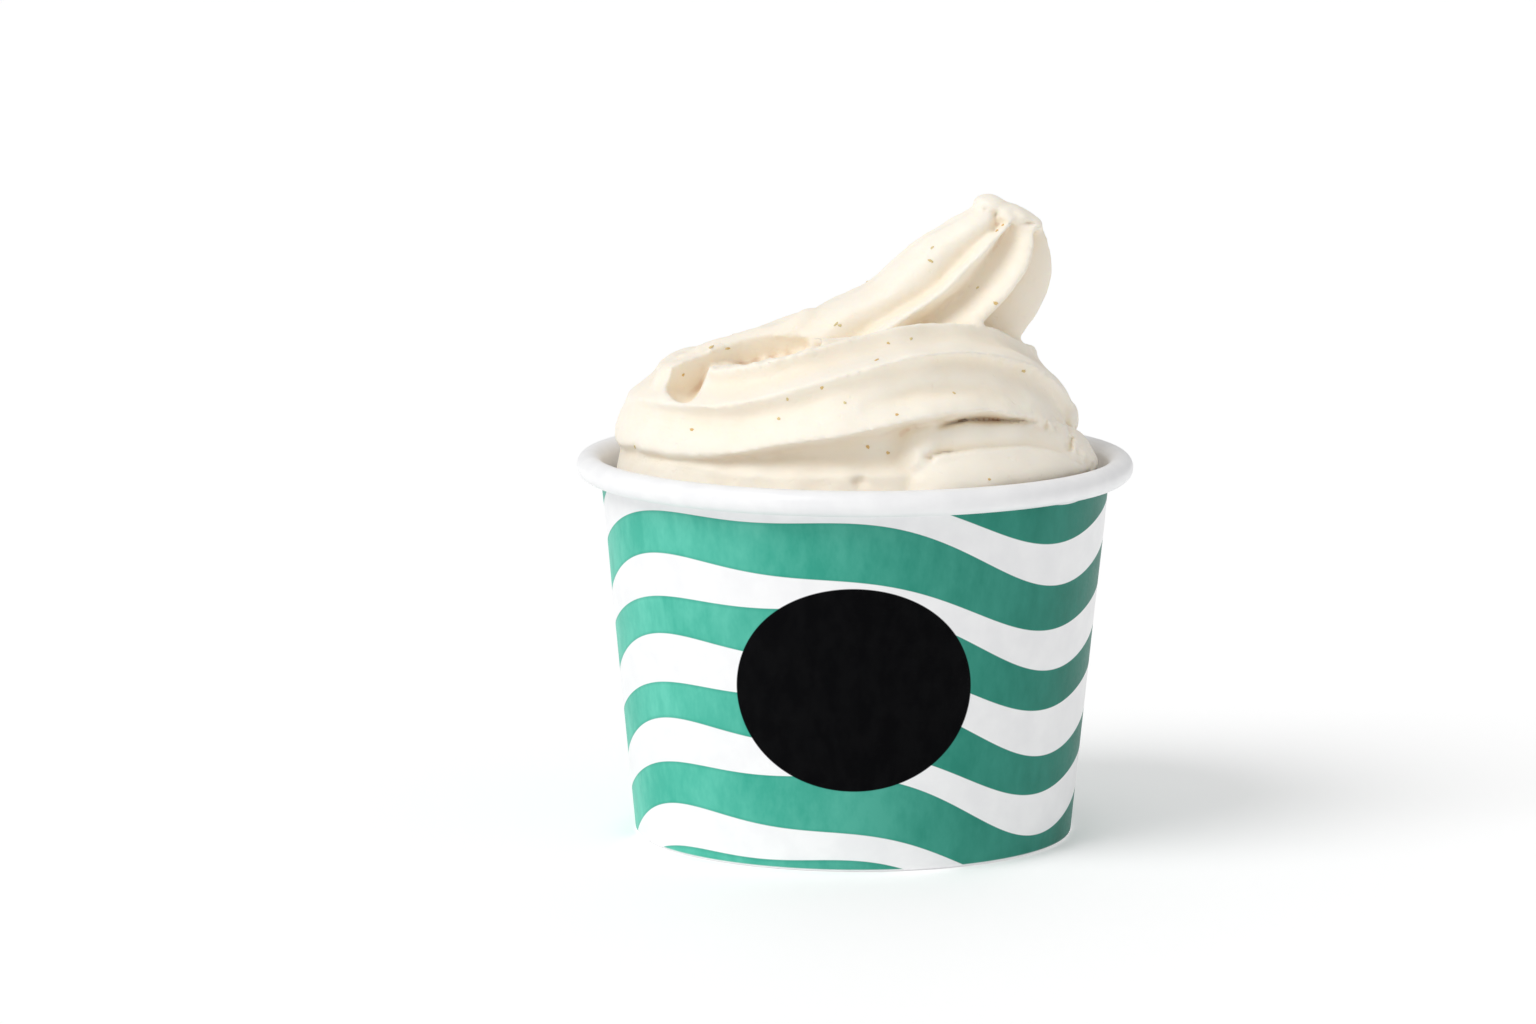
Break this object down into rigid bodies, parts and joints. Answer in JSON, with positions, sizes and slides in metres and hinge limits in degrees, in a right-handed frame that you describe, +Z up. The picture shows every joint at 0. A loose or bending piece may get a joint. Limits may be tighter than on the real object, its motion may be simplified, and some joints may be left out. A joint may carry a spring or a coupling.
{
  "type": "frozen yogurt cup",
  "caption": "Round paper tub with a rolled rim, filled with soft frozen yogurt that is piped into a fluted swirl with a leaning peak.",
  "frame": {"origin": "centre of the tub's foot, on the surface it stands on", "axes": "+Z up along the tub's axis; the front, with the oval on the print, faces -Y, and the peak leans towards +X"},
  "size_m": [0.09, 0.09, 0.104],
  "materials": {
    "printed_board": "smooth coated white board, printed with sea-green bands and a black oval, satin",
    "plain_board": "smooth coated white board, unprinted, satin",
    "yogurt": "off-white soft frozen yogurt with fine tan specks, moist and softly translucent"
  },
  "bodies": {
    "root": {"cup_wall": "printed_board", "cup_floor": "plain_board", "frozen_yogurt": "yogurt"}
  },
  "joints": []
}
